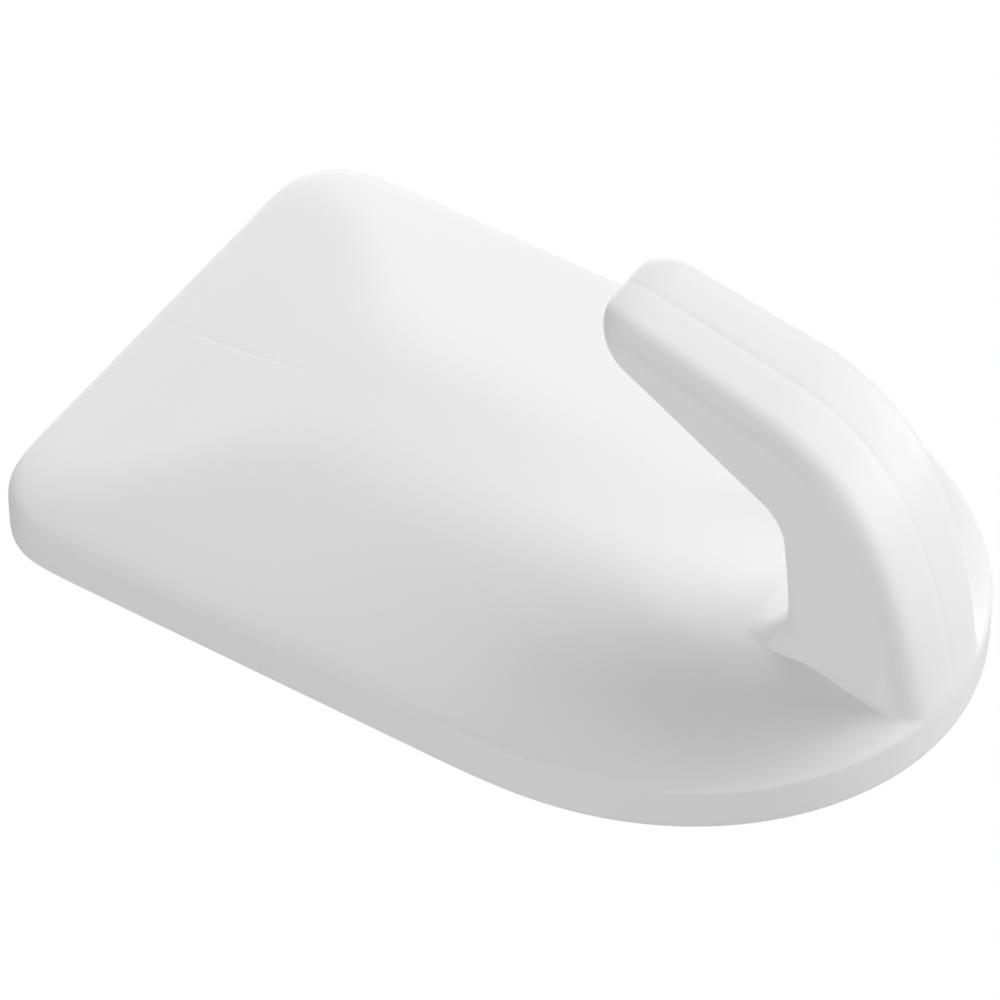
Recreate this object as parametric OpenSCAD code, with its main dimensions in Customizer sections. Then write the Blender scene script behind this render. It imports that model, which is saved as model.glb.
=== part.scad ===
// Adhesive wall hook: a D-shaped plate with a hook moulded on its round lower end,
// held to the wall by a double-sided foam pad that sits in the plate's back.
// The wall is the plane y = 0, z runs up the wall and the hook stands out towards -y.
// Shapes are worked out as [x, h, out]: h is the height over the plate's lower end and
// out is the distance from the plate's back.

/* [Plate] */
// Width of the plate
plate_w = 40; // [34:1:52]
// Height of the plate along the wall
plate_h = 61.5; // [55:0.5:80]
// Radius of the two top corners
corner_r = 5; // [4:0.2:10]
// Height of the half ellipse that closes the lower end
end_h = 22.7; // [18:0.1:26]
// Height of the rim's straight wall, where the front starts to roll over
wall_t = 3.1; // [2.4:0.1:3.6]
// Thickness of the plate at its top edge
top_t = 4.2; // [4:0.1:5]
// Thickness of the plate at its crest
crest_t = 6.2; // [5.4:0.1:7]
// Distance below the top edge where the front starts to rise to the crest
rise_from = 2.5; // [1:0.5:5]
// Distance over which the front rises to the crest
rise_run = 16; // [10:1:22]
// Height of the rolled edge along both sides
side_roll = 0.5; // [0.3:0.1:0.8]
// Height of the rolled edge at the lower end
end_roll = 1.5; // [0.8:0.1:2]
// How far the rolled edge reaches in from the rim
roll_run = 1.2; // [0.8:0.1:2]
// Slope of the front's flanks towards both sides, in degrees
side_slope = 9.5; // [6:0.5:14]
// Slope of the front towards the lower end, in degrees
end_slope = 14; // [8:0.5:18]
// Difference in height over which the flat middle rounds over into the flanks
shoulder = 0.5; // [0.2:0.1:0.9]

/* [Hook] */
// How far inside the rim the hook's outer face starts
foot_in = 0.1; // [0.1:0.05:0.3]
// Lean of the shank's outer face at its start, in degrees
shank_lean = 1; // [0.5:0.5:6]
// Radius of the slow sweep of the shank's outer face
shank_r = 38; // [34:1:60]
// How far the outer face runs out from the plate's back before it bends
shank_out = 17.7; // [14:0.1:20]
// Radius of the outer bend
bend_r = 12.5; // [8:0.5:14]
// Rise of the blade's outer face towards the tip, in degrees
blade_rise = 13; // [10:1:20]
// Height of the tip's end over the plate's lower end
tip_h = 25; // [22:0.5:32]
// Depth of the shank at the plate's back
root_d = 8.9; // [7.5:0.1:10.5]
// Lean of the shank's inner face, in degrees
throat_lean = 6; // [3:0.5:10]
// How far the inner face runs out from the plate's back before it bends
throat_out = 15; // [12:0.2:15.4]
// Radius of the inner bend
throat_r = 3.6; // [2:0.2:5]
// Rise of the blade's inner face towards the tip, in degrees
throat_rise = 27.5; // [22:0.5:32]
// Radius of the hollow between the plate's front and the inner face
root_fillet = 3; // [1:0.5:4]
// Width of the hook at the plate's back
root_w = 11.4; // [9:0.2:14]
// Width of the hook at the bend
bend_w = 9.8; // [8:0.2:12]
// Width of the hook at the start of its rounded tip
tip_w = 8.8; // [7:0.2:11]
// Length of the rounded tip
tip_l = 2.6; // [2:0.2:5]
// How far the inner face ends below the tip
tip_cut = 0.6; // [0:0.1:1]
// Rounding between the hook's outer face and its sides at the plate's back
root_r = 2.6; // [1.4:0.1:3]
// Rounding between the hook's outer face and its sides, from the bend to the tip
outer_r = 1.7; // [1:0.1:2.4]
// Bow of the hook's outer face across its width, from the bend to the tip
face_bow = 0.15; // [0.05:0.05:0.4]
// Rounding between the hook's inner face and its sides
inner_r = 0.9; // [0.4:0.1:1.2]

/* [Adhesive pad] */
// Width of the rim round the recess in the plate's back
land_w = 2; // [1.5:0.1:3]
// Depth of the recess for the pad
recess_d = 0.6; // [0.3:0.1:0.9]
// Clearance between the pad's edge and the recess
pad_gap = 0.3; // [0.1:0.1:0.6]
// Thickness of each adhesive film
film_t = 0.1; // [0.06:0.02:0.2]
// Thickness of the foam
foam_t = 1; // [0.8:0.1:2]
// Thickness of the release liner
liner_t = 0.12; // [0.08:0.02:0.2]
// Overhang of the liner past the pad's edge
liner_over = 0.8; // [0.4:0.1:1.2]

/* [Hidden] */

half_w = plate_w / 2;
pad_t = foam_t + 2 * film_t;
// Distance of the plate's back from the wall plane
seat = liner_t + pad_t - recess_d;
// Thickness of the plate between its recess and the hook's start
foot_cover = 0.4;
// Distance of the hook's start from the plate's back, covered by the plate
foot_out = recess_d + foot_cover;
// Heading at the end of the shank's sweep, from straight out towards the tip
shank_turn = asin(sin(shank_lean) + (shank_out - foot_out) / shank_r);
blade_turn = 90 - blade_rise;
throat_turn = 90 - throat_rise;

// Counts of steps along the forms
side_steps = 14;
end_steps = 40;
corner_steps = 6;
edge_steps = 6;
crown_steps = 12;
shank_steps = 16;
bend_steps = 8;
blade_steps = 4;
tip_steps = 6;
round_steps = 5;
face_steps = 3;

// Share of the plate's reach near the rim that has the finer rings
edge_share = 0.06;
// Step of the grid on which the hook's sections are set
grid = 0.001;
// Keeps a division away from nought in the middle of the round end
tiny = 0.000001;
// Most of a section's depth that its outer and its inner rounding may take
outer_most = 0.55;
inner_most = 0.3;
// Share of the blade's thickness left at the end of the rounded tip
tip_flat = 0.45;
// Share of the tip's length by which each side is drawn in
tip_round = 0.8;

// Places a point given as [x, h, out] in the frame of the wall
function on_wall(p) = [p.x, -(p.z + seat), p.y - plate_h / 2];

// Sets a point on a fine grid, so that the hook's sections join without slivers
function on_grid(p) = [for (v = p) round(v / grid) * grid];

function arc(centre, r, from, to, n) =
    [for (i = [0 : n]) centre + r * [cos(from + (to - from) * i / n), sin(from + (to - from) * i / n)]];

function between(p, q, n) = [for (i = [1 : 1 : n - 1]) p + (q - p) * i / n];

// Outline of the plate as [x, h], moved inwards by inset, with n steps on each straight side
function outline(inset, n) =
    let (
        w = half_w - inset,
        top = plate_h - inset,
        r = corner_r - inset,
        lower = [for (p = arc([0, 0], 1, 180, 360, end_steps)) [p.x * w, end_h + p.y * (end_h - inset)]],
        right = arc([w - r, top - r], r, 0, 90, corner_steps),
        left = arc([r - w, top - r], r, 90, 180, corner_steps)
    )
    concat(
        lower,
        between([w, end_h], [w, top - r], n),
        right,
        between([w - r, top], [r - w, top], n),
        left,
        between([-w, top - r], [-w, end_h], n)
    );

// Distance from the rim of a point [x, h] above the round end
function rim_gap(p) =
    let (a = abs(p.x) - half_w + corner_r, b = p.y - plate_h + corner_r)
    corner_r - norm([max(a, 0), max(b, 0)]) - min(max(a, b), 0);

// Height of the plate's front over its back at [x, h], where share is how far the point
// lies on the way from the middle of the round end to the rim
function front(p, share) =
    let (
        up = max(0, min(1, (plate_h - rise_from - p.y) / rise_run)),
        middle = top_t + (crest_t - top_t) * up * up * (3 - 2 * up) - wall_t,
        below = pow(max(0, end_h - p.y) / end_h / max(share, tiny), 2),
        to_rim = p.y > end_h ? rim_gap(p) : (1 - share) * (half_w + (end_h - half_w) * below),
        depth = p.y > end_h ? half_w - abs(p.x) : to_rim,
        slope = tan(side_slope) + (tan(end_slope) - tan(side_slope)) * below,
        flank = side_roll + (end_roll - side_roll) * below + slope * depth,
        near = max(0, shoulder - abs(middle - flank)),
        left = 1 - min(1, max(0, to_rim) / roll_run)
    )
    wall_t + (min(middle, flank) - near * near / (4 * shoulder)) * sqrt(1 - left * left);

// Plate: rings of the outline drawn in towards the middle of the round end
module plate() {
    rim = outline(0, side_steps);
    n = len(rim);
    middle = [0, end_h];
    shares = concat(
        [for (i = [0 : edge_steps]) 1 - edge_share * (1 - cos(90 * i / edge_steps))],
        [for (i = [1 : crown_steps - 1]) (1 - edge_share) * (1 - i / crown_steps)]
    );
    back = [for (p = rim) [p.x, p.y, 0]];
    rings = [for (share = shares, p = rim)
        let (q = middle + (p - middle) * share)
        [q.x, q.y, front(q, share)]];
    crest = [[0, end_h, front(middle, 0)]];
    points = [for (p = concat(back, rings, crest)) on_wall(p)];
    last = len(shares);
    walls = [for (k = [0 : last - 1], i = [0 : n - 1])
        let (a = k * n + i, b = k * n + (i + 1) % n)
        each [[a, b + n, b], [a, a + n, b + n]]];
    cap = [for (i = [0 : n - 1]) [last * n + i, (last + 1) * n, last * n + (i + 1) % n]];
    floor_face = [[for (i = [0 : n - 1]) i]];
    polyhedron(points, concat(floor_face, walls, cap));
}

// Outer and inner profile of the hook as [h, out], from its start in the plate to the tip
function outer_shank(t) =
    let (a = shank_lean + (shank_turn - shank_lean) * t)
    [foot_in, foot_out] + shank_r * [cos(shank_lean) - cos(a), sin(a) - sin(shank_lean)];

function outer_bend(t) =
    let (a = shank_turn + (blade_turn - shank_turn) * t)
    outer_shank(1) + bend_r * [cos(shank_turn) - cos(a), sin(a) - sin(shank_turn)];

function outer_blade(t) =
    let (run = (tip_h - outer_bend(1).x) * t)
    outer_bend(1) + run * [1, tan(blade_rise)];

function inner_shank(t) =
    let (
        out = foot_out + (throat_out - foot_out) * t,
        h = root_d + out * tan(throat_lean),
        gap = root_fillet - max(0, out - front([0, h], 1 - h / end_h)),
        hollow = root_fillet - sqrt(pow(root_fillet, 2) - pow(max(0, gap), 2))
    )
    [h + hollow, out];

function inner_bend(t) =
    let (a = throat_lean + (throat_turn - throat_lean) * t)
    inner_shank(1) + throat_r * [cos(throat_lean) - cos(a), sin(a) - sin(throat_lean)];

function inner_blade(t) =
    let (run = (tip_h - inner_bend(1).x) * t)
    inner_bend(1) + run * [1, tan(throat_rise)];

// Half of a section of the hook as [x, depth], with its outer face bowed and both edges rounded
function half_section(w, depth, bow, r) =
    let (
        a = min(r, depth * outer_most),
        b = min(inner_r, depth * inner_most),
        x = w - a,
        slope = atan(2 * bow * x / (w * w)),
        start = [x, bow * x * x / (w * w)]
    )
    concat(
        [for (i = [0 : face_steps - 1]) let (f = x * i / face_steps) [f, bow * f * f / (w * w)]],
        arc(start + a * [-sin(slope), cos(slope)], a, 270 + slope, 360, round_steps),
        arc([w - b - a * sin(slope), depth - b], b, 0, 90, round_steps)
    );

// Closed section between an outer and an inner point, as points in the frame of the wall
function section(outer, inner, width, bow, r) =
    let (
        depth = norm(inner - outer),
        along = (inner - outer) / depth,
        half = half_section(width / 2, depth, bow, r),
        other = [for (i = [len(half) - 1 : -1 : 1]) [-half[i].x, half[i].y]]
    )
    [for (p = concat(half, other)) let (q = outer + along * p.y) on_grid(on_wall([p.x, q.x, q.y]))];

// Share of the blade's length where its rounded tip starts
tip_start = 1 - tip_l / (tip_h - outer_bend(1).x);

function shank_section(t) =
    let (
        ease = (1 - t) * (1 - t),
        width = bend_w + (root_w - bend_w) * ease,
        end_bow = end_h * (1 - sqrt(1 - pow(width / plate_w, 2))),
        bow = face_bow + (end_bow - face_bow) * (1 - t)
    )
    section(outer_shank(t), inner_shank(t), width, bow, outer_r + (root_r - outer_r) * ease);

function bend_section(t) = section(outer_bend(t), inner_bend(t), bend_w, face_bow, outer_r);

function blade_section(t) =
    let (at = tip_start * t)
    section(outer_blade(at), inner_blade(at), bend_w + (tip_w - bend_w) * t, face_bow, outer_r);

// Section of the rounded tip, at t from 0 at its start to 1 at its end
function tip_section(t) =
    let (
        at = tip_start + (1 - tip_start) * sin(90 * t),
        outer = outer_blade(at),
        inner = inner_blade(at) - tip_cut * sin(90 * t) * [1, tan(throat_rise)],
        middle = (outer + inner) / 2,
        thin = tip_flat + (1 - tip_flat) * cos(90 * t),
        width = tip_w - 2 * tip_l * tip_round * (1 - cos(90 * t))
    )
    section(
        middle + (outer - middle) * thin, middle + (inner - middle) * thin, width, face_bow * thin, outer_r
    );

// Hook: a chain of hulls from section to section
module hook() {
    rings = concat(
        [for (i = [0 : shank_steps]) shank_section(i / shank_steps)],
        [for (i = [1 : bend_steps]) bend_section(i / bend_steps)],
        [for (i = [1 : blade_steps]) blade_section(i / blade_steps)],
        [for (i = [1 : tip_steps]) tip_section(i / tip_steps)]
    );
    n = len(rings[0]);
    ends = [[for (k = [0 : n - 1]) k], [for (k = [0 : n - 1]) n + k]];
    for (i = [0 : len(rings) - 2])
        hull()
            polyhedron(concat(rings[i], rings[i + 1]), ends);
}

// Slab of an outline between two distances from the wall
module slab(inset, near, far) {
    translate([0, -near, -plate_h / 2])
        rotate([90, 0, 0])
            linear_extrude(far - near)
                polygon(outline(inset, 1));
}

module hook_body() {
    color("white")
        difference() {
            union() {
                plate();
                hook();
            }
            slab(land_w, 0, seat + recess_d);
        }
}

module hook_side_adhesive() {
    color("gainsboro")
        slab(land_w + pad_gap, liner_t + film_t + foam_t, liner_t + pad_t);
}

module foam_carrier() {
    color("whitesmoke")
        slab(land_w + pad_gap, liner_t + film_t, liner_t + film_t + foam_t);
}

module wall_side_adhesive() {
    color("gainsboro")
        slab(land_w + pad_gap, liner_t, liner_t + film_t);
}

module release_liner() {
    color("lightyellow")
        slab(land_w + pad_gap - liner_over, 0, liner_t);
}

hook_body();
hook_side_adhesive();
foam_carrier();
wall_side_adhesive();
release_liner();
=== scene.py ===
import math
import random

import bmesh
import bpy
from mathutils import Matrix, Vector


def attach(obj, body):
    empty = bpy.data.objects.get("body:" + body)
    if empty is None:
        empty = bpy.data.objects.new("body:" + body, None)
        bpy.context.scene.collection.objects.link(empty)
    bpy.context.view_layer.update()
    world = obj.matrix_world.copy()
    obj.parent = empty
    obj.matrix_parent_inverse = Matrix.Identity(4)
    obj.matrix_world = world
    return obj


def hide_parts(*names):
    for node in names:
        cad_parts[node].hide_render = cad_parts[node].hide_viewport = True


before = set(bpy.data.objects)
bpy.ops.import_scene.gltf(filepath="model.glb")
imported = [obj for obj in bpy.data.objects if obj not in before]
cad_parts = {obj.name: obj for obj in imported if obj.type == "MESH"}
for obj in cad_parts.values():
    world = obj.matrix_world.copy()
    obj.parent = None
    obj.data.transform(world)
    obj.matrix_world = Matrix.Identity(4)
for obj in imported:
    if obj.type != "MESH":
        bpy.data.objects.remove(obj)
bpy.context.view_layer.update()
mm = 0.001
print("stage: frame loaded")


# Shapes are worked out in millimetres as x, h, out: h is the height over the plate's
# lower end and out is the distance from the plate's back

plate = {
    "halfWidth": 20.0,
    "height": 61.5,
    "cornerRadius": 5.0,
    "endHeight": 22.7,  # half ellipse at the lower end
    "wall": 3.15,  # straight part of the rim
    "topThickness": 4.2,
    "crest": 6.2,
    "riseFrom": 2.5,  # the front rises from here below the top edge
    "riseRun": 16.0,
    "sideRoll": 0.3,  # height of the rolled edge
    "endRoll": 1.35,
    "sideRun": 0.6,  # how far it reaches in
    "endRun": 2.4,
    "swell": 0.25,  # the flanks steepen a little towards the sides
    "swellRun": 2.0,
    "sideSlope": 9.5,  # slopes of the flanks in degrees
    "endSlope": 14.0,
    "shoulder": 0.5,
    "backEdge": 0.35,
    "land": 2.0,  # rim round the pad's recess
    "recess": 0.6,
    "recessRound": (0.04, 0.06),  # edges of the recess, inwards and down
    "seat": 0.72,  # gap between the plate's back and the wall plane
}

hook = {
    "footIn": 0.1,  # the outer face starts this far above the lower end
    "footOut": 1.0,  # and this far from the plate's back
    "flushRun": 3.0,  # the outer face meets the rim over this distance
    "shankLean": 1.0,  # slopes of the faces in degrees
    "shankRadius": 38.0,
    "shankOut": 17.7,
    "bendRadius": 12.5,
    "bladeRise": 13.0,
    "tipHeight": 25.0,
    "rootDepth": 8.9,
    "throatLean": 6.0,
    "throatOut": 15.0,
    "throatRadius": 3.6,
    "throatRise": 27.5,
    "rootWidth": 11.4,
    "bendWidth": 9.8,
    "tipWidth": 8.8,
    "tipLength": 2.6,
    "tipFlat": 0.45,
    "tipRound": 0.8,
    "tipCut": 0.6,  # how far the inner face ends below the tip
    "rootRound": 2.6,
    "outerRound": 1.7,
    "rootInnerRound": 1.6,
    "innerRound": 0.9,
    "faceBow": 0.15,
    "sideFillet": 0.25,  # hollow where the sides meet the plate
    "rootFillet": 3.0,  # hollow where the inner face does
    "rootFlare": 0.7,  # the inner face flares out towards the plate
    "flareRun": 3.0,
}

partingLine = {
    "half": 0.28,  # half the width of the mould's parting line
    "groove": 0.04,
    "plateShare": 0.4,  # it is fainter on the plate
    "fadeFrom": 34.0,  # and dies out there below this height
    "fadeTo": 56.0,
}

# Points of half a section of the hook, from the middle of its outer face to the inner one
facePoints, roundPoints, sidePoints, hollowPoints, throatPoints = 6, 4, 12, 3, 7


def onWall(x, h, out):
    return Vector((x, -(out + plate["seat"]), h - plate["height"] / 2)) * mm


def smooth(t):
    t = min(1.0, max(0.0, t))
    return t * t * (3 - 2 * t)


# Plate

# Distance of a point from the rim, and how far it faces the lower end rather than a side
def rimGap(x, h):
    w, top, r, e = plate["halfWidth"], plate["height"], plate["cornerRadius"], plate["endHeight"]
    if h > e:
        a, b = abs(x) - w + r, h - top + r
        return r - math.hypot(max(a, 0), max(b, 0)) - min(max(a, b), 0), 0.0
    share = max(1e-6, math.hypot(x / w, (e - h) / e))
    below = ((e - h) / e / share) ** 2
    return (1 - share) * (w + (e - w) * below), below


def frontOut(x, h):
    gap, below = rimGap(x, h)
    deep = plate["halfWidth"] - abs(x) if h > plate["endHeight"] else gap
    side, end = math.tan(math.radians(plate["sideSlope"])), math.tan(math.radians(plate["endSlope"]))
    flank = plate["sideRoll"] + (plate["endRoll"] - plate["sideRoll"]) * below
    flank += (side + (end - side) * below) * deep
    flank += plate["swell"] * (1 - below) * (1 - math.exp(-deep / plate["swellRun"]))
    up = smooth((plate["height"] - plate["riseFrom"] - h) / plate["riseRun"])
    middle = plate["topThickness"] + (plate["crest"] - plate["topThickness"]) * up - plate["wall"]
    soft = plate["shoulder"]
    near = max(0.0, soft - abs(middle - flank))
    run = plate["sideRun"] + (plate["endRun"] - plate["sideRun"]) * below
    left = 1 - min(1.0, max(0.0, gap) / run)
    return plate["wall"] + (min(middle, flank) - near * near / (4 * soft)) * math.sqrt(1 - left * left)


# The parting line's groove at a height on the plate
def lineOut(h):
    low, high = partingLine["fadeFrom"], partingLine["fadeTo"]
    return -partingLine["groove"] * partingLine["plateShare"] * smooth((h - low) / (high - low))


def rimPoint(spot, inset):
    kind, at = spot
    w, top = plate["halfWidth"] - inset, plate["height"] - inset
    r, e = plate["cornerRadius"] - inset, plate["endHeight"]
    if kind == "end":
        return w * math.sin(at), e - (e - inset) * math.cos(at)
    if kind == "side":
        return w, e + at * (top - r - e)
    if kind == "corner":
        return w - r + r * math.cos(at), top - r + r * math.sin(at)
    return (w - r) * at, top


rimLayout = {
    "endFrom": 13.5,  # degrees round the lower end where the hook's face stops
    "endSteps": 10,
    "endCrowding": 1.35,
    "sideSteps": 8,
    "cornerSteps": 4,
    "topShares": (0.84, 0.67, 0.5, 0.33, 0.16),
}


# One spot on the rim for each point of half a section of the hook
def rimSpots():
    w = plate["halfWidth"]
    spots = [("end", math.asin(p[0] / w)) for p in shankSection(0)[:facePoints]]
    first, crowding = math.radians(rimLayout["endFrom"]), rimLayout["endCrowding"]
    steps = rimLayout["endSteps"]
    for i in range(steps):
        spots.append(("end", first + (math.pi / 2 - first) * (i / (steps - 1)) ** crowding))
    steps = rimLayout["sideSteps"]
    spots += [("side", i / steps) for i in range(1, steps)]
    steps = rimLayout["cornerSteps"]
    spots += [("corner", math.radians(90 / steps * i)) for i in range(steps + 1)]
    line = partingLine["half"] / (w - plate["cornerRadius"])
    spots += [("top", x) for x in (*rimLayout["topShares"], line, 0)]
    return spots


# Half a ring inside the rim; further in than the corners allow it shrinks towards the middle
def insetRing(inset):
    far, middle = plate["cornerRadius"] - 1, plate["height"] / 2
    keep = (plate["halfWidth"] - max(inset, far)) / (plate["halfWidth"] - far)
    ring = [rimPoint(spot, min(inset, far)) for spot in rimSpots()]
    return [(x * keep, middle + (h - middle) * keep) for x, h in ring]


# Hook

def outerProfile(part, t):
    lean, r = math.radians(hook["shankLean"]), hook["shankRadius"]
    turn = math.asin(math.sin(lean) + (hook["shankOut"] - hook["footOut"]) / r)
    rise = math.radians(hook["bladeRise"])
    a = lean + (turn - lean) * (t if part == "shank" else 1)
    h = hook["footIn"] + r * (math.cos(lean) - math.cos(a))
    out = hook["footOut"] + r * (math.sin(a) - math.sin(lean))
    if part == "shank":
        return h, out
    r = hook["bendRadius"]
    a = turn + (math.pi / 2 - rise - turn) * (t if part == "bend" else 1)
    h += r * (math.cos(turn) - math.cos(a))
    out += r * (math.sin(a) - math.sin(turn))
    if part == "bend":
        return h, out
    run = (hook["tipHeight"] - h) * t
    return h + run, out + run * math.tan(rise)


# How much of the flare towards the plate is there at a point of the inner face
def flareShare(out):
    run, low, end = hook["flareRun"], plate["crest"], hook["throatOut"]
    return math.exp(-max(0.0, out - low) / run) - math.exp(-(end - low) / run)


def innerProfile(part, t):
    lean, rise = math.radians(hook["throatLean"]), math.radians(hook["throatRise"])
    out = hook["footOut"] + (hook["throatOut"] - hook["footOut"]) * (t if part == "shank" else 1)
    h = hook["rootDepth"] + out * math.tan(lean)
    if part == "shank":
        return h + hook["rootFlare"] * flareShare(out), out
    r = hook["throatRadius"]
    a = lean + (math.pi / 2 - rise - lean) * (t if part == "bend" else 1)
    h += r * (math.cos(lean) - math.cos(a))
    out += r * (math.sin(a) - math.sin(lean))
    if part == "bend":
        return h, out
    run = (hook["tipHeight"] - h) * t
    return h + run, out + run * math.tan(rise)


# Points from the middle of the outer face round one side to the middle of the inner face
def halfSection(w, depth, bow, r, inner):
    a = min(r, depth * 0.55, w * 0.6)  # the rounds give way where the section is thin
    b = min(inner, depth * 0.3, w * 0.5)
    x = w - a
    slope = math.atan(2 * bow * x / (w * w))
    line, groove = min(partingLine["half"], 0.1 * w), partingLine["groove"]
    points = [(0, groove), (line, 0)]
    for i in range(2, facePoints):
        f = line + (x - line) * (i - 1) / (facePoints - 2)
        points.append((f, bow * f * f / (w * w)))
    cx, cy = x - a * math.sin(slope), bow * x * x / (w * w) + a * math.cos(slope)
    for i in range(1, roundPoints + 1):
        turn = math.pi * 1.5 + slope + (math.pi / 2 - slope) * i / roundPoints
        points.append((cx + a * math.cos(turn), cy + a * math.sin(turn)))
    side = cx + a
    for i in range(1, sidePoints + 1):
        points.append((side, cy + (depth - b - cy) * i / (sidePoints + 1)))
    for i in range(hollowPoints + 1):
        turn = math.pi / 2 * i / hollowPoints
        points.append((side - b + b * math.cos(turn), depth - b + b * math.sin(turn)))
    for i in range(1, throatPoints + 1):
        points.append((line + (side - b - line) * (1 - i / (throatPoints + 1)), depth))
    return points + [(line, depth), (0, depth - groove)]


def section(outer, inner, width, bow, r=hook["outerRound"], innerR=hook["innerRound"]):
    dh, do = inner[0] - outer[0], inner[1] - outer[1]
    depth = math.hypot(dh, do)
    return [
        (x, outer[0] + dh * d / depth, outer[1] + do * d / depth)
        for x, d in halfSection(width / 2, depth, bow, r, innerR)
    ]


def shankSection(t):
    ease = (1 - t) ** 2
    width = hook["bendWidth"] + (hook["rootWidth"] - hook["bendWidth"]) * ease
    endBow = plate["endHeight"] * (1 - math.sqrt(1 - (width / 2 / plate["halfWidth"]) ** 2))
    bow = hook["faceBow"] + (endBow - hook["faceBow"]) * (1 - t)
    r = hook["outerRound"] + (hook["rootRound"] - hook["outerRound"]) * ease
    outer, inner = outerProfile("shank", t), innerProfile("shank", t)
    innerR = hook["innerRound"] + (hook["rootInnerRound"] - hook["innerRound"]) * flareShare(inner[1])
    return section(outer, inner, width, bow, r, innerR)


def bendSection(t):
    return section(outerProfile("bend", t), innerProfile("bend", t), hook["bendWidth"], hook["faceBow"])


# The share t is 0 at the bend, 1 at the start of the rounded tip and 2 at its end
def bladeSection(t):
    start = 1 - hook["tipLength"] / (hook["tipHeight"] - outerProfile("bend", 1)[0])
    if t <= 1:
        width = hook["bendWidth"] + (hook["tipWidth"] - hook["bendWidth"]) * t
        at = start * t
        return section(outerProfile("blade", at), innerProfile("blade", at), width, hook["faceBow"])
    a = (t - 1) * math.pi / 2
    at = start + (1 - start) * math.sin(a)
    outer, inner = outerProfile("blade", at), innerProfile("blade", at)
    cut = hook["tipCut"] * math.sin(a)
    inner = inner[0] - cut, inner[1] - cut * math.tan(math.radians(hook["throatRise"]))
    thin = hook["tipFlat"] + (1 - hook["tipFlat"]) * math.cos(a)
    width = hook["tipWidth"] - 2 * hook["tipLength"] * hook["tipRound"] * (1 - math.cos(a))
    mid = [(outer[i] + inner[i]) / 2 for i in (0, 1)]
    outer = [mid[i] + (outer[i] - mid[i]) * thin for i in (0, 1)]
    inner = [mid[i] + (inner[i] - mid[i]) * thin for i in (0, 1)]
    return section(outer, inner, width, hook["faceBow"] * thin)


# Where the shank's point j comes out of the plate's front
def footShare(j):
    low, high, halvings = 0.0, 0.7, 40
    for i in range(halvings):
        mid = (low + high) / 2
        x, h, out = shankSection(mid)[j]
        if out < frontOut(x, h):
            low = mid
        else:
            high = mid
    return high


# Share of the shank at a given distance of its outer face from the plate's back
def shankShare(out):
    lean, r = math.radians(hook["shankLean"]), hook["shankRadius"]
    turn = math.asin(math.sin(lean) + (hook["shankOut"] - hook["footOut"]) / r)
    return (math.asin(math.sin(lean) + (out - hook["footOut"]) / r) - lean) / (turn - lean)


# Lets a ring's points on the outer face run straight down and end flush with the rim
def runDown(ring, out):
    low, run = plate["wall"], hook["flushRun"]
    near = smooth((low + run - out) / run)
    here, end = shankSection(shankShare(out)), shankSection(shankShare(low))
    for j, spot in enumerate(rimSpots()[:facePoints]):
        rimX, rimH = rimPoint(spot, 0)
        x, h = here[j][0] + (rimX - end[j][0]) * near, here[j][1] + (rimH - end[j][1]) * near
        ring[j] = (x, h, here[j][2] + (low - end[j][2]) * near)
    return ring


skin = {
    "tipSteps": 8,
    "bladeSteps": 7,
    "bendSteps": 13,
    "shankSteps": 11,
    "filletSteps": 5,
    "throatEarly": 1.5,  # points before the inner round where the hollow starts to widen
    "turnRun": 6,
    "calm": 0.85,  # lines at the inner round head for the rim sooner, by this share
    "calmFrom": 12,
    "calmIn": 5,
    "calmOut": 4,
    "pull": 0.3,  # how far the lines follow their first and last direction
    "longestArm": 1.0,
    "wayLeft": (
        0.94, 0.86, 0.77, 0.68, 0.59, 0.5, 0.41, 0.33, 0.255,
        0.19, 0.135, 0.092, 0.06, 0.036, 0.019, 0.008, 0.002, 0,
    ),  # share of the way to the rim that is left, ring by ring
}


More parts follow.
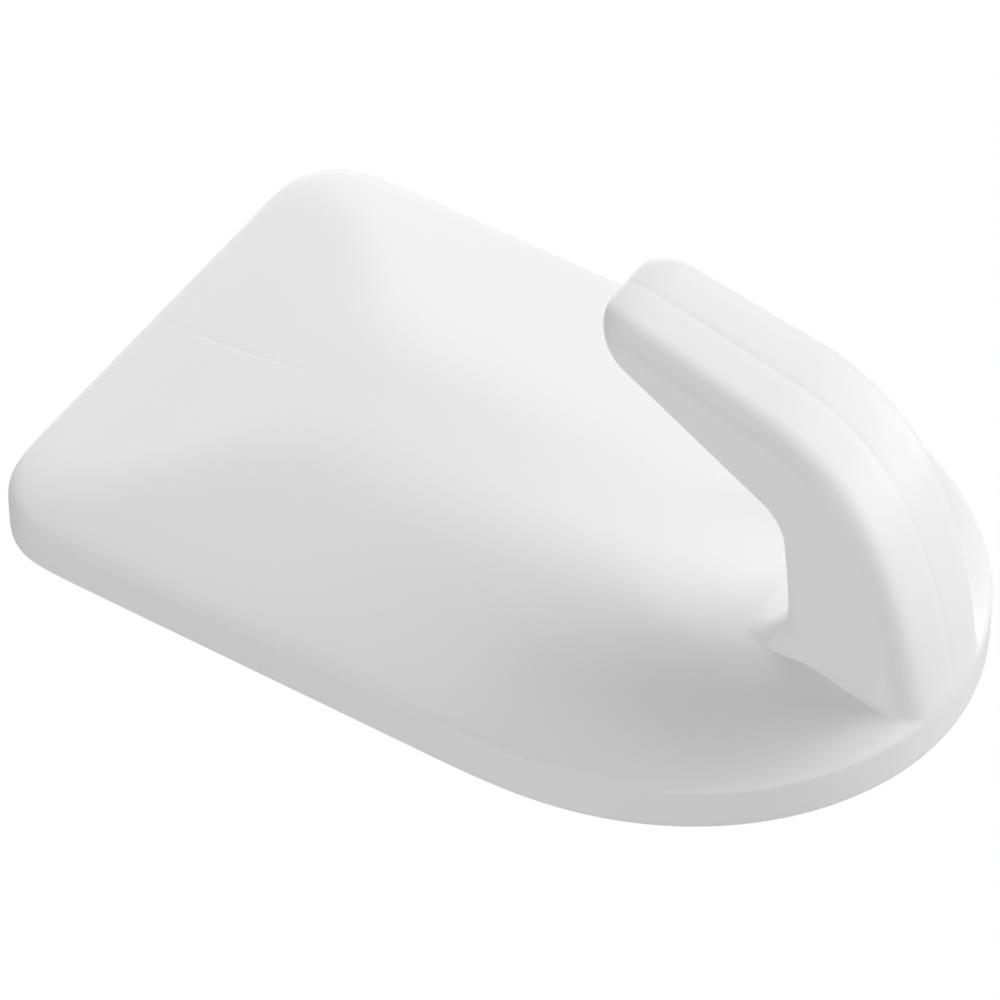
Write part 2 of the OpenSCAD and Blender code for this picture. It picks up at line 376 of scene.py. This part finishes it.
# Half rings of the whole moulding, from the tip down the hook, over the plate to its back
def bodyRings():
    rings = []
    tipSteps, bladeSteps, bendSteps = skin["tipSteps"], skin["bladeSteps"], skin["bendSteps"]
    shankSteps, filletSteps = skin["shankSteps"], skin["filletSteps"]
    rings += [bladeSection(2 - i / tipSteps) for i in range(tipSteps)]
    rings += [bladeSection(1 - i / bladeSteps) for i in range(bladeSteps)]
    rings += [bendSection(1 - i / bendSteps) for i in range(bendSteps)]
    count = len(rings[0])
    spots = rimSpots()
    foot = [footShare(j) for j in range(count)]
    sideEnd = facePoints + roundPoints + sidePoints
    early = skin["throatEarly"]
    throat = [smooth((j - sideEnd + early) / (hollowPoints + early)) for j in range(count)]
    fillet = [hook["sideFillet"] + (hook["rootFillet"] - hook["sideFillet"]) * f for f in throat]
    reach = hook["throatOut"] - hook["footOut"]
    upper = [foot[j] + fillet[j] / reach for j in range(count)]
    lowest = shankSection(upper[facePoints])[facePoints][2]
    for i in range(shankSteps + 1):  # down the shank to the top of the hollow
        f = i / shankSteps
        ring = [shankSection(1 + (upper[j] - 1) * f)[j] for j in range(count)]
        rings.append(runDown(ring, hook["shankOut"] + (lowest - hook["shankOut"]) * f))
    crease = [shankSection(foot[j])[j] for j in range(count)]
    rim = [rimPoint(spot, 0) for spot in spots]
    turn = [smooth((j - facePoints - 1) / skin["turnRun"]) for j in range(count)]
    away = []
    for j in range(count):  # direction in which the plate's front leaves the crease
        calm = skin["calm"] * smooth((j - skin["calmFrom"]) / skin["calmIn"])
        lead = turn[j] * (1 - calm * smooth((sideEnd + skin["calmIn"] - j) / skin["calmOut"]))
        a, b = crease[max(0, j - 1)], crease[min(count - 1, j + 1)]
        n = Vector((-(a[1] - b[1]), a[0] - b[0]))
        if j >= count - 2:
            n = Vector((0, 1))
        straight = Vector((rim[j][0] - crease[j][0], rim[j][1] - crease[j][1])).normalized()
        away.append((n.normalized() * lead + straight * (1 - lead)).normalized())
    for i in range(1, filletSteps + 1):  # round the hollow onto the plate
        turned = math.pi / 2 * i / filletSteps
        ring = []
        for j in range(count):
            lift, shift = fillet[j] * (1 - math.sin(turned)), fillet[j] * (1 - math.cos(turned))
            x, h, out = shankSection(foot[j] + lift / reach)[j]
            out -= frontOut(x, h)
            x, h = x + away[j].x * shift, h + away[j].y * shift
            ring.append((x, h, out + frontOut(x, h)))
        rings.append(runDown(ring, ring[facePoints][2]))
    start, pull = rings[-1], skin["pull"]
    for left in skin["wayLeft"]:  # over the plate's front to the rim
        ring = []
        for j in range(count):
            p, q = Vector(start[j][:2]), Vector(rim[j])
            arm = (q - p).length * pull
            g = 1 - left
            a = p + away[j] * min(arm, skin["longestArm"])
            inwards = (Vector((0, plate["endHeight"])) - q).normalized() * arm
            b = q + inwards * turn[j] + (p - q) * pull * (1 - turn[j])
            at = p * left ** 3 + a * 3 * left * left * g + b * 3 * left * g * g + q * g ** 3
            out = frontOut(at.x, at.y)
            if j == count - 1:
                out += lineOut(at.y)
            ring.append((at.x, at.y, out))
        rings.append(runDown(ring, ring[facePoints][2]))
    edge, wall, land, deep = plate["backEdge"], plate["wall"], plate["land"], plate["recess"]
    sharp, low = plate["recessRound"]
    # down the rim and into the recess, as distances from the rim and from the back
    behind = [(0, wall * 0.8), (0, wall * 0.45), (0, edge), (edge * 0.3, edge * 0.3), (edge, 0)]
    behind += [(edge * 2, 0), (land - 0.25, 0), (land - sharp, 0), (land, low)]
    behind += [(land, deep - low), (land + sharp, deep), (land + 0.3, deep)]
    behind += [(land + 3, deep), (land + 8, deep)]
    for inset, out in behind:
        rings.append([(x, h, out) for x, h in insetRing(inset)])
    return rings


# Points of a closed ring, mirrored from its right half
def wholeRing(half):
    points = [onWall(*p) for p in half]
    return points + [Vector((-p.x, p.y, p.z)) for p in reversed(points[1:-1])]


# A circle pulled out ring by ring, as one extrude after another
def growSkin(name, rings):
    bpy.ops.object.select_all(action="DESELECT")
    count = len(rings[0])
    bpy.ops.mesh.primitive_circle_add(vertices=count, radius=mm, fill_type="NGON")
    piece = bpy.context.active_object
    piece.name = piece.data.name = name
    bpy.ops.object.mode_set(mode="EDIT")
    bpy.ops.mesh.select_mode(type="FACE")
    bpy.ops.mesh.select_all(action="SELECT")
    mesh = bmesh.from_edit_mesh(piece.data)
    mesh.verts.ensure_lookup_table()
    current = list(range(count))
    for v, place in zip(current, rings[0]):
        mesh.verts[v].co = place
    for ring in rings[1:]:
        bpy.ops.mesh.extrude_region_move(TRANSFORM_OT_translate={"value": (0, 0, 0)})
        mesh = bmesh.from_edit_mesh(piece.data)
        mesh.verts.index_update()
        mesh.verts.ensure_lookup_table()
        old = set(current)
        grown = []
        for v in current:
            near = [e.other_vert(mesh.verts[v]) for e in mesh.verts[v].link_edges]
            grown.append([n.index for n in near if n.select and n.index not in old][0])
        current = grown
        for v, place in zip(current, ring):
            mesh.verts[v].co = place
    bmesh.update_edit_mesh(piece.data)
    bpy.ops.mesh.select_all(action="SELECT")
    bpy.ops.mesh.normals_make_consistent(inside=False)
    bpy.ops.object.mode_set(mode="OBJECT")
    return piece


def finishSmooth(piece, levels):
    bpy.ops.object.select_all(action="DESELECT")
    piece.select_set(True)
    bpy.context.view_layer.objects.active = piece
    rounder = piece.modifiers.new("rounder", "SUBSURF")
    rounder.levels = rounder.render_levels = levels
    bpy.ops.object.modifier_apply(modifier=rounder.name)
    bpy.ops.object.shade_smooth()
    return piece


settle = {
    "rimFrom": 1.5,  # points nearer to the rim stay as they are
    "rimRun": 2.0,
    "nearReach": 0.05,  # at the hook, points further than this from the plate's front stay
    "farReach": 0.25,  # the same away from the hook
    "hookRun": 2.0,
}


# Puts the rounded mesh back on the plate's front, clear of the rim and the hook
def settleFront(piece):
    for v in piece.data.vertices:
        x, h, out = v.co.x / mm, v.co.z / mm + plate["height"] / 2, -v.co.y / mm - plate["seat"]
        gap = rimGap(x, h)[0]
        if gap < settle["rimFrom"] or out < plate["wall"]:
            continue
        over = out - frontOut(x, h) - lineOut(h) * (1 - smooth(abs(x) / partingLine["half"]))
        share = smooth((gap - settle["rimFrom"]) / settle["rimRun"])
        beside, above = abs(x) - hook["rootWidth"] / 2, h - hook["rootDepth"] - hook["rootFillet"]
        away = smooth(math.hypot(max(0, beside), max(0, above)) / settle["hookRun"])
        reach = settle["nearReach"] + (settle["farReach"] - settle["nearReach"]) * away
        share *= 1 - smooth(abs(over) / reach)
        v.co.y += over * share * mm


body = finishSmooth(growSkin("hookMoulding", [wholeRing(r) for r in bodyRings()]), 2)
settleFront(body)
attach(body, "hook")
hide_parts("hook_body")
print("stage: moulding has", len(body.data.polygons), "faces")


# Pad in the plate's back: foam between two adhesive films, with a liner on the wall side

pad = {
    "inset": 2.3,
    "foamFrom": -0.5,  # distances from the plate's back
    "foamTo": 0.5,
    "bulge": 0.07,  # how far the cut edge swells
    "cutWander": 0.03,
    "cutSteps": 5,
    "cutMargin": 0.04,
    "foamEdge": 0.12,
    "faceInsets": (9, 1),  # rings that close the flat faces
    "linerInset": 1.5,
    "linerFrom": -0.72,
    "linerTo": -0.6,
    "linerEdge": 0.03,
}


def padRing(inset, out, wander=0.0, dice=None):
    ring = wholeRing([(x, h, out) for x, h in insetRing(inset)])
    if wander:
        middle = onWall(0, plate["height"] / 2, out)
        for p in ring:
            p += (p - middle).normalized() * dice.uniform(-wander, wander) * mm
    return ring


def makeFoam():
    dice = random.Random(7)
    low, high, inset, swell = pad["foamFrom"], pad["foamTo"], pad["inset"], pad["bulge"]
    steps, margin, edge = pad["cutSteps"], pad["cutMargin"], pad["foamEdge"]
    insets = [inset + more for more in (*pad["faceInsets"], edge)]
    rings = [padRing(i, high) for i in insets]
    for i in range(steps + 1):
        f = i / steps
        out = high + (low - high) * (margin + (1 - 2 * margin) * f)
        rings.append(padRing(inset + edge / 2 - swell * math.sin(math.pi * f), out, pad["cutWander"], dice))
    rings += [padRing(i, low) for i in reversed(insets)]
    return finishSmooth(growSkin("foamPad", rings), 1)


def makeLiner():
    low, high, inset, edge = pad["linerFrom"], pad["linerTo"], pad["linerInset"], pad["linerEdge"]
    insets = [inset + more for more in (*pad["faceInsets"], edge)]
    rings = [padRing(i, high) for i in insets]
    rings += [padRing(inset, high - edge), padRing(inset, low + edge)]
    rings += [padRing(i, low) for i in reversed(insets)]
    return finishSmooth(growSkin("releaseLiner", rings), 1)


foam = makeFoam()
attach(foam, "hook")
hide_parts("foam_carrier")
liner = makeLiner()
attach(liner, "liner")
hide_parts("release_liner")
print("stage: pad pieces made")


# Materials

def addNode(tree, kind, place, **settings):
    node = tree.nodes.new(kind)
    node.location = place
    for name, value in settings.items():
        setattr(node, name, value)
    return node


def feed(tree, source, target):
    tree.links.new(source, target)


# Slow blotches and a fine grain, which every surface here has in its own amount
def makeMottle():
    group = bpy.data.node_groups.new("surfaceMottle", "ShaderNodeTree")
    sockets = group.interface
    sockets.new_socket(name="Place", in_out="INPUT", socket_type="NodeSocketVector")
    for name, value in (("Blotch Scale", 45.0), ("Grain Scale", 1800.0), ("Grain Share", 0.5)):
        sockets.new_socket(name=name, in_out="INPUT", socket_type="NodeSocketFloat").default_value = value
    for name in ("Blotch", "Grain", "Height"):
        sockets.new_socket(name=name, in_out="OUTPUT", socket_type="NodeSocketFloat")
    start = addNode(group, "NodeGroupInput", (-600, 0))
    end = addNode(group, "NodeGroupOutput", (500, 0))
    slow = addNode(group, "ShaderNodeTexNoise", (-350, 180))
    slow.inputs["Detail"].default_value = 3.0
    slow.inputs["Roughness"].default_value = 0.45
    fine = addNode(group, "ShaderNodeTexNoise", (-350, -160))
    fine.inputs["Detail"].default_value = 2.0
    blend = addNode(group, "ShaderNodeMix", (150, -60), data_type="FLOAT")
    feed(group, start.outputs["Place"], slow.inputs["Vector"])
    feed(group, start.outputs["Place"], fine.inputs["Vector"])
    feed(group, start.outputs["Blotch Scale"], slow.inputs["Scale"])
    feed(group, start.outputs["Grain Scale"], fine.inputs["Scale"])
    feed(group, start.outputs["Grain Share"], blend.inputs["Factor"])
    feed(group, slow.outputs["Fac"], blend.inputs["A"])
    feed(group, fine.outputs["Fac"], blend.inputs["B"])
    feed(group, slow.outputs["Fac"], end.inputs["Blotch"])
    feed(group, fine.outputs["Fac"], end.inputs["Grain"])
    feed(group, blend.outputs["Result"], end.inputs["Height"])
    return group


mottle = makeMottle()

finishes = {
    "whitePlastic": {
        "light": (0.83, 0.83, 0.83), "dark": (0.8, 0.8, 0.8), "rough": (0.34, 0.44),
        "blotchScale": 60.0, "grainScale": 2600.0, "grainShare": 0.25, "bump": 0.12, "depth": 0.02,
        "stretch": (1, 1, 1), "coat": 0.0,
    },
    "whiteFoam": {
        "light": (0.87, 0.87, 0.85), "dark": (0.72, 0.72, 0.7), "rough": (0.8, 0.95),
        "blotchScale": 900.0, "grainScale": 5200.0, "grainShare": 0.7, "bump": 0.6, "depth": 0.08,
        "stretch": (1, 1, 1), "coat": 0.0,
    },
    "clearAdhesive": {
        "light": (0.8, 0.81, 0.76), "dark": (0.72, 0.73, 0.68), "rough": (0.12, 0.3),
        "blotchScale": 220.0, "grainScale": 3000.0, "grainShare": 0.4, "bump": 0.2, "depth": 0.02,
        "stretch": (1, 1, 1), "coat": 0.4,
    },
    "linerPaper": {
        "light": (0.88, 0.84, 0.7), "dark": (0.82, 0.77, 0.62), "rough": (0.42, 0.6),
        "blotchScale": 160.0, "grainScale": 1500.0, "grainShare": 0.6, "bump": 0.25, "depth": 0.03,
        "stretch": (1, 1, 0.25), "coat": 0.15,
    },
}


grainSpan = (0.3, 0.7)  # most of the grain's values lie between these
plasticBend = 1.48  # index of refraction


def makeFinish(name):
    look = finishes[name]
    material = bpy.data.materials.new(name)
    material.use_nodes = True
    tree = material.node_tree
    shader = tree.nodes["Principled BSDF"]
    shader.inputs["IOR"].default_value = plasticBend
    shader.inputs["Coat Weight"].default_value = look["coat"]
    place = addNode(tree, "ShaderNodeTexCoord", (-1100, 0))
    turn = addNode(tree, "ShaderNodeMapping", (-900, 0))
    turn.inputs["Scale"].default_value = look["stretch"]
    marks = addNode(tree, "ShaderNodeGroup", (-680, 0), node_tree=mottle)
    marks.inputs["Blotch Scale"].default_value = look["blotchScale"]
    marks.inputs["Grain Scale"].default_value = look["grainScale"]
    marks.inputs["Grain Share"].default_value = look["grainShare"]
    tint = addNode(tree, "ShaderNodeMix", (-380, 220), data_type="RGBA")
    tint.inputs["A"].default_value = (*look["dark"], 1)
    tint.inputs["B"].default_value = (*look["light"], 1)
    gloss = addNode(tree, "ShaderNodeMapRange", (-380, -40))
    gloss.inputs["From Min"].default_value, gloss.inputs["From Max"].default_value = grainSpan
    gloss.inputs["To Min"].default_value, gloss.inputs["To Max"].default_value = look["rough"]
    bump = addNode(tree, "ShaderNodeBump", (-380, -320))
    bump.inputs["Strength"].default_value = look["bump"]
    bump.inputs["Distance"].default_value = look["depth"] * mm
    feed(tree, place.outputs["Object"], turn.inputs["Vector"])
    feed(tree, turn.outputs["Vector"], marks.inputs["Place"])
    feed(tree, marks.outputs["Blotch"], tint.inputs["Factor"])
    feed(tree, marks.outputs["Grain"], gloss.inputs["Value"])
    feed(tree, marks.outputs["Height"], bump.inputs["Height"])
    feed(tree, tint.outputs["Result"], shader.inputs["Base Color"])
    feed(tree, gloss.outputs["Result"], shader.inputs["Roughness"])
    feed(tree, bump.outputs["Normal"], shader.inputs["Normal"])
    return material


def dress(piece, material):
    piece.data.materials.clear()
    piece.data.materials.append(material)


dress(body, makeFinish("whitePlastic"))
dress(foam, makeFinish("whiteFoam"))
dress(liner, makeFinish("linerPaper"))
adhesive = makeFinish("clearAdhesive")
for node in ("hook_side_adhesive", "wall_side_adhesive"):
    dress(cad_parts[node], adhesive)
print("stage: finishes set")


# Camera at the photo's place, seen in the frame of the wall

camera = {
    "turn": 57.15,
    "height": 45.83,
    "distance": 443.95,
    "lens": 249.06,
    "target": (-2.94, -6.12, 1.44),
}


def addCamera():
    turn, high = math.radians(camera["turn"]), math.radians(camera["height"])
    right = Vector((math.cos(turn), 0, -math.sin(turn)))
    up = Vector((math.sin(turn) * math.sin(high), -math.cos(high), math.cos(turn) * math.sin(high)))
    back = Vector((-math.sin(turn) * math.cos(high), -math.sin(high), -math.cos(turn) * math.cos(high)))
    place = (Vector(camera["target"]) + back * camera["distance"]) * mm
    bpy.ops.object.camera_add()
    eye = bpy.context.active_object
    eye.name = "photoCamera"
    eye.matrix_world = Matrix((
        (right.x, up.x, back.x, place.x),
        (right.y, up.y, back.y, place.y),
        (right.z, up.z, back.z, place.z),
        (0, 0, 0, 1),
    ))
    eye.data.lens = camera["lens"]
    eye.data.sensor_width = 36
    eye.data.clip_start, eye.data.clip_end = 0.01, 20
    bpy.context.scene.camera = eye


addCamera()

# Studio: the hook lies before a pale floor that shows no shadow, as in the photo

studio = {
    "floorGap": 60.0,  # floor behind the wall face, clear of the peeled liner
    "floorSize": 6.0,
    "floorGlow": 0.44,
    "worldGlow": 0.0,
    "boxDistance": 0.7,
    "boxSize": 0.5,
    "boxes": {  # degrees over the wall plane, degrees round from the far side, power
        "lowFarTop": (10, 45, 2.2),
        "lowNearTop": (10, 135, 1.15),
        "lowNearEnd": (10, 225, 1.4),
        "lowEnd": (10, 270, 1.1),
        "lowFarEnd": (10, 315, 2.4),
        "highFarTop": (45, 22, 1.4),
        "highNearTop": (45, 157, 1.5),
        "highFarEnd": (45, 337, 2.15),
    },
}


def addFloor():
    bpy.ops.object.select_all(action="DESELECT")
    bpy.ops.mesh.primitive_plane_add(size=studio["floorSize"], location=(0, studio["floorGap"] * mm, 0))
    floor = bpy.context.active_object
    floor.name = "paleFloor"
    floor.rotation_euler = (math.pi / 2, 0, 0)
    material = bpy.data.materials.new("paleFloor")
    material.use_nodes = True
    tree = material.node_tree
    tree.nodes.remove(tree.nodes["Principled BSDF"])
    end = tree.nodes["Material Output"]
    glow = addNode(tree, "ShaderNodeEmission", (-400, 0))
    glow.inputs["Strength"].default_value = studio["floorGlow"]
    seen = addNode(tree, "ShaderNodeEmission", (-400, -150))
    path = addNode(tree, "ShaderNodeLightPath", (-400, 300))
    side = addNode(tree, "ShaderNodeNewGeometry", (-200, 300))
    clear = addNode(tree, "ShaderNodeBsdfTransparent", (-200, -200))
    both = addNode(tree, "ShaderNodeMixShader", (-200, 0))
    oneSided = addNode(tree, "ShaderNodeMixShader", (0, 0))
    feed(tree, path.outputs["Is Camera Ray"], both.inputs[0])
    feed(tree, glow.outputs[0], both.inputs[1])
    feed(tree, seen.outputs[0], both.inputs[2])
    feed(tree, side.outputs["Backfacing"], oneSided.inputs[0])
    feed(tree, both.outputs[0], oneSided.inputs[1])
    feed(tree, clear.outputs[0], oneSided.inputs[2])
    feed(tree, oneSided.outputs[0], end.inputs["Surface"])
    floor.data.materials.append(material)
    floor.visible_shadow = False


def addWorld():
    world = bpy.data.worlds.new("studioAir")
    bpy.context.scene.world = world
    world.use_nodes = True
    tree = world.node_tree
    glow = tree.nodes["Background"]
    glow.inputs["Color"].default_value = (1, 1, 1, 1)
    glow.inputs["Strength"].default_value = studio["worldGlow"]
    seen = addNode(tree, "ShaderNodeBackground", (0, -150))
    seen.inputs["Color"].default_value = (1, 1, 1, 1)
    path = addNode(tree, "ShaderNodeLightPath", (0, 300))
    both = addNode(tree, "ShaderNodeMixShader", (250, 0))
    feed(tree, path.outputs["Is Camera Ray"], both.inputs[0])
    feed(tree, glow.outputs[0], both.inputs[1])
    feed(tree, seen.outputs[0], both.inputs[2])
    feed(tree, both.outputs[0], tree.nodes["World Output"].inputs["Surface"])


def addBoxes():
    for name, (high, turn, power) in studio["boxes"].items():
        high, turn = math.radians(high), math.radians(turn)
        way = Vector((math.cos(high) * math.cos(turn), -math.sin(high), math.cos(high) * math.sin(turn)))
        place = way * studio["boxDistance"]
        bpy.ops.object.light_add(type="AREA", location=place)
        box = bpy.context.active_object
        box.name = box.data.name = name
        box.data.energy, box.data.size = power, studio["boxSize"]
        box.rotation_mode = "QUATERNION"
        box.rotation_quaternion = place.to_track_quat("Z", "Y")
        box.visible_camera = False


addFloor()
addWorld()
addBoxes()
bpy.context.scene.view_settings.view_transform = "Standard"
print("stage: studio lit")
